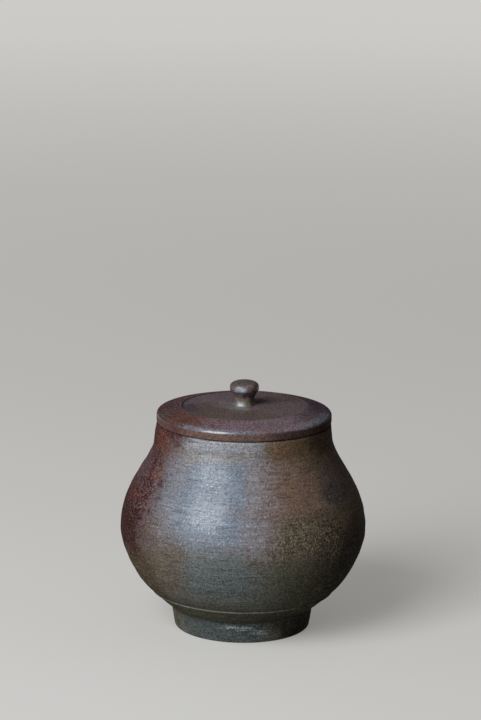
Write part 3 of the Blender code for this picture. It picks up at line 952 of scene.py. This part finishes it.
class CANISTER_OT_foot(bpy.types.Operator):
    """Makes the ring that the jar stands on"""

    bl_idname = "canister.foot"
    bl_label = "Foot ring"

    def execute(self, context):
        jar = context.scene.canister_jar
        clay = context.scene.canister_clay
        base = jar.foot_radius - jar.foot_taper
        inner = base - jar.foot_wall
        top = jar.foot_height + FOOT_SEAT
        inner_top = top + jar.underside_arch * (1 - (inner / jar.foot_radius) ** 2)
        rows = bent(
            [
                (inner + RING_START, inner_top - FOOT_TOP_FALL, 0),
                (jar.foot_radius + FOOT_FLARE, top, HIDDEN_ROUND),
                (jar.foot_radius - FOOT_TUCK, top - FOOT_FLARE, FOOT_FLARE_ROUND),
                (base, 0, FOOT_OUTER_ROUND),
                (inner + FOOT_INNER_TAPER, 0, FOOT_INNER_ROUND),
                (inner, inner_top, 0),
            ],
            SIDE_STEP,
        )

        def hand(angle, radius, height):
            side = fade(height, 1 * MM, 3 * MM)
            side = side * fade(height, jar.foot_height + 0.8 * MM, jar.foot_height - 1.2 * MM)
            wander = FOOT_WANDER * np.sin(2 * angle + 1)
            return radius + side * (finger_rings(angle, height, FOOT_RINGS) + wander), height

        piece = turned("foot", chained(rows), FOOT_TURN, hand)
        finish_piece(piece, foot_clay(clay, jar), "jar", ["foot_ring"])
        return {"FINISHED"}


def crest_of(lid):
    """The height where the lid's upright edge turns into its sloping border."""
    return LID_LOW.z + lid.edge_height


def panel_height(lid, radius, panel_radius):
    edge = crest_of(lid) + lid.border_rise - lid.step_depth
    return edge + lid.panel_dome * (1 - (radius / panel_radius) ** 2)


def lid_rows(lid):
    """The lid's outline, from the middle of its panel out to the edge and back underneath."""
    crest = crest_of(lid)
    step_radius = lid.lid_radius - lid.border_width
    radii = np.linspace(0, step_radius - STEP_WIDTH, PANEL_ROWS)
    panel = np.stack([radii, panel_height(lid, radii, radii[-1])], axis=1)
    inner = lid.flange_radius - lid.flange_wall
    hollow = LID_LOW.z + HOLLOW_DEPTH
    edge = bent(
        [
            (*panel[PANEL_INNER_ROWS], 0),
            (*panel[-1], STEP_ROUND),
            (step_radius, crest + lid.border_rise, STEP_ROUND),
            (lid.lid_radius, crest, CREST_ROUND),
            (lid.lid_radius, LID_LOW.z, EDGE_ROUND),
            (inner, LID_LOW.z, HOLLOW_EDGE_ROUND),
            (inner - HOLLOW_SLOPE, hollow, HOLLOW_ROUND),
            (inner - HOLLOW_BORDER, hollow, 0),
        ],
        SIDE_STEP,
    )
    below = evenly([(inner - HOLLOW_BORDER, hollow), (0, hollow)], HIDDEN_STEP)
    return chained(evenly(panel[: PANEL_INNER_ROWS + 1], SIDE_STEP), edge, below)


class CANISTER_OT_lid(bpy.types.Operator):
    """Makes the lid with its sloping border and sunk panel"""

    bl_idname = "canister.lid"
    bl_label = "Lid"

    def execute(self, context):
        lid = context.scene.canister_lid
        clay = context.scene.canister_clay
        crest = crest_of(lid)
        knob_foot = lid.waist_radius + lid.knob_flare

        def hand(angle, radius, height):
            side = fade(radius, lid.lid_radius - 2.5 * MM, lid.lid_radius - 0.5 * MM)
            top = fade(height, crest - 1.7 * MM, crest + 0.3 * MM) * (1 - side)
            top = top * fade(radius, knob_foot, knob_foot + 3 * MM)
            wander = LID_WANDER * side * np.sin(2 * angle + 2)
            return radius + wander, height + top * finger_rings(angle, radius, LID_RINGS)

        piece = turned("lid", lid_rows(lid), LID_TURN, hand)
        finish_piece(piece, lid_clay(clay, lid), "lid", ["lid_plate"])
        return {"FINISHED"}


class CANISTER_OT_flange(bpy.types.Operator):
    """Makes the ring under the lid that drops into the mouth"""

    bl_idname = "canister.flange"
    bl_label = "Lid flange"

    def execute(self, context):
        lid = context.scene.canister_lid
        clay = context.scene.canister_clay
        inner = lid.flange_radius - lid.flange_wall
        top = LID_LOW.z + FLANGE_SEAT
        tip = JAR_HIGH.z - lid.flange_depth
        rows = bent(
            [
                (inner + RING_START, top, 0),
                (lid.flange_radius, top, HIDDEN_ROUND),
                (lid.flange_radius - FLANGE_TAPER, tip, FLANGE_TIP_ROUND),
                (inner + FLANGE_TAPER, tip, FLANGE_TIP_ROUND),
                (inner, top, 0),
            ],
            SIDE_STEP,
        )

        def hand(angle, radius, height):
            return radius + finger_rings(angle, height, FLANGE_RINGS), height

        piece = turned("flange", chained(rows), FLANGE_TURN, hand)
        finish_piece(piece, flange_clay(clay), "lid", ["lid_flange"])
        return {"FINISHED"}


class CANISTER_OT_knob(bpy.types.Operator):
    """Makes the waisted knob"""

    bl_idname = "canister.knob"
    bl_label = "Knob"

    def execute(self, context):
        lid = context.scene.canister_lid
        clay = context.scene.canister_clay
        base = panel_height(lid, 0, lid.lid_radius - lid.border_width)
        waist = (lid.waist_radius, base + WAIST_RISE)
        lip = (waist[0] + LIP_SPREAD, waist[1] + LIP_RISE)
        widest = (lid.knob_radius, lip[1] + WIDEST_RISE)
        flare_end = (waist[0] + lid.knob_flare, base - BURIED)
        crown_pull = (widest[0] * CROWN_FULLNESS, 0)
        crown_drop = (0, (KNOB_HIGH.z - widest[1]) * CROWN_DROP)
        crown = curve((0, KNOB_HIGH.z), crown_pull, crown_drop, widest, FINE_STEP)
        band = curve(widest, *BAND_PULLS, lip, FINE_STEP)
        taper = curve(lip, *TAPER_PULLS, waist, FINE_STEP)
        flare = curve(waist, *FLARE_PULLS, flare_end, FINE_STEP)
        stub = evenly([flare_end, (waist[0], base - KNOB_SEAT), (0, base - KNOB_SEAT)], SEAT_STEP)

        def hand(angle, radius, height):
            grip = fade(height, base + 1 * MM, base + 3 * MM)
            return radius * (1 + KNOB_WANDER * grip * np.sin(2 * angle + 0.4)), height

        piece = turned("lid_knob", chained(crown, band, taper, flare, stub), KNOB_TURN, hand)
        finish_piece(piece, knob_clay(clay), "lid", ["knob"])
        return {"FINISHED"}


def photo_camera(scene):
    data = bpy.data.cameras.new("photo_camera")
    data.lens = CAMERA_LENS
    data.sensor_fit = "VERTICAL"
    data.sensor_height = CAMERA_SENSOR
    data.clip_start, data.clip_end = 0.01, 50
    camera = bpy.data.objects.new("photo_camera", data)
    level = math.cos(CAMERA_PITCH)
    forward = np.array([math.sin(CAMERA_YAW) * level, math.cos(CAMERA_YAW) * level, -math.sin(CAMERA_PITCH)])
    right = np.array([math.cos(CAMERA_YAW), -math.sin(CAMERA_YAW), 0])
    upward = np.cross(right, forward)
    rolled_right = math.cos(CAMERA_ROLL) * right + math.sin(CAMERA_ROLL) * upward
    rolled_up = math.cos(CAMERA_ROLL) * upward - math.sin(CAMERA_ROLL) * right
    matrix = np.eye(4)
    matrix[:3, :3] = np.stack([rolled_right, rolled_up, -forward], axis=1)
    matrix[:3, 3] = CAMERA_PLACE
    camera.matrix_world = matrix.T
    scene.collection.objects.link(camera)
    scene.camera = camera


def soft_light(scene, stage):
    """A tall soft window of light. At strength 1, a white wall that faces it looks white."""
    lamp = bpy.data.lights.new("window", "AREA")
    lamp.shape = "RECTANGLE"
    lamp.size, lamp.size_y = KEY_WIDTH, KEY_HEIGHT
    lamp.energy = stage.key_strength * (math.pi * KEY_DISTANCE) ** 2
    lamp.color = stage.key_colour
    window = bpy.data.objects.new("window", lamp)
    azimuth, elevation = stage.key_azimuth, stage.key_elevation
    flat = KEY_DISTANCE * math.cos(elevation)
    window.location = (
        -flat * math.sin(azimuth),
        -flat * math.cos(azimuth),
        KEY_DISTANCE * math.sin(elevation) + JAR_HIGH.z / 2,
    )
    window.rotation_euler = (math.pi / 2 - elevation, 0, -azimuth)
    scene.collection.objects.link(window)


class CANISTER_OT_stage(bpy.types.Operator):
    """Sets the pale floor, the soft light and the photograph's camera"""

    bl_idname = "canister.stage"
    bl_label = "Stage"

    def execute(self, context):
        scene = context.scene
        stage = scene.canister_stage
        photo_camera(scene)
        scene.view_settings.view_transform = "Standard"

        mesh = bpy.data.meshes.new("floor")
        signs = ((-1, -1), (1, -1), (1, 1), (-1, 1))
        corners = [(FLOOR_REACH * across, FLOOR_REACH * along, 0) for across, along in signs]
        mesh.from_pydata(corners, [], [(0, 1, 2, 3)])
        floor = bpy.data.objects.new("floor", mesh)
        scene.collection.objects.link(floor)
        mesh.materials.append(floor_paint(stage))

        soft_light(scene, stage)

        world = bpy.data.worlds.new("studio")
        scene.world = world
        world.use_nodes = True
        background = world.node_tree.nodes["Background"]
        background.inputs["Color"].default_value = (1, 1, 1, 1)
        background.inputs["Strength"].default_value = stage.fill_strength
        return {"FINISHED"}


def floor_paint(stage):
    """Pale to the camera and in reflections, near and far, and darker for the light that it throws back."""
    shader = ClayShader("floor")
    rays = shader.add("ShaderNodeLightPath", {}, {}).socket.node
    kinds = ("Is Camera Ray", "Is Glossy Ray", "Is Transmission Ray")
    camera, glossy, through = (Signal(shader, rays.outputs[kind]) for kind in kinds)
    seen = camera + glossy + through
    place = shader.add("ShaderNodeTexCoord", {}, {}, "Object")
    distance = shader.vector("LENGTH", {0: place}, "Value")
    evened = NEAR_GLOW + shader.rise(distance, GLOW_FROM, GLOW_TO) * (FAR_GLOW - NEAR_GLOW)
    shader.colour = shader.mix(seen, FLOOR_BOUNCE, stage.floor)
    glow = shader.mix(seen * evened, (0, 0, 0), stage.floor)
    shader.fill(shader.surface, {"Base Color": shader.colour, "Roughness": FLOOR_ROUGHNESS})
    shader.fill(shader.surface, {"Emission Color": glow, "Emission Strength": 1.0})
    return shader.material


class CANISTER_PT_panel(bpy.types.Panel):
    """Lists the canister's sizes, colours and makers"""

    bl_label = "Tea canister"
    bl_idname = "CANISTER_PT_panel"
    bl_space_type = "VIEW_3D"
    bl_region_type = "UI"
    bl_category = "Canister"

    def draw(self, context):
        scene = context.scene
        for maker in MAKERS:
            self.layout.operator(maker.bl_idname)
        for group in (scene.canister_jar, scene.canister_lid, scene.canister_clay, scene.canister_stage):
            box = self.layout.box()
            for name in group.bl_rna.properties.keys():
                if name not in ("rna_type", "name"):
                    box.prop(group, name)


GROUPS = {
    "canister_jar": CanisterJarSizes,
    "canister_lid": CanisterLidSizes,
    "canister_clay": CanisterClay,
    "canister_stage": CanisterStage,
}
MAKERS = (
    CANISTER_OT_jar,
    CANISTER_OT_foot,
    CANISTER_OT_lid,
    CANISTER_OT_flange,
    CANISTER_OT_knob,
    CANISTER_OT_stage,
)


def register():
    for name, group in GROUPS.items():
        bpy.utils.register_class(group)
        setattr(bpy.types.Scene, name, PointerProperty(type=group))
    for maker in MAKERS:
        bpy.utils.register_class(maker)
    bpy.utils.register_class(CANISTER_PT_panel)


def unregister():
    bpy.utils.unregister_class(CANISTER_PT_panel)
    for maker in reversed(MAKERS):
        bpy.utils.unregister_class(maker)
    for name, group in GROUPS.items():
        delattr(bpy.types.Scene, name)
        bpy.utils.unregister_class(group)


def main():
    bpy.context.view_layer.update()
    register()
    bpy.ops.canister.jar()
    bpy.ops.canister.foot()
    bpy.ops.canister.lid()
    bpy.ops.canister.flange()
    bpy.ops.canister.knob()
    bpy.ops.canister.stage()


if __name__ == "__main__":
    main()
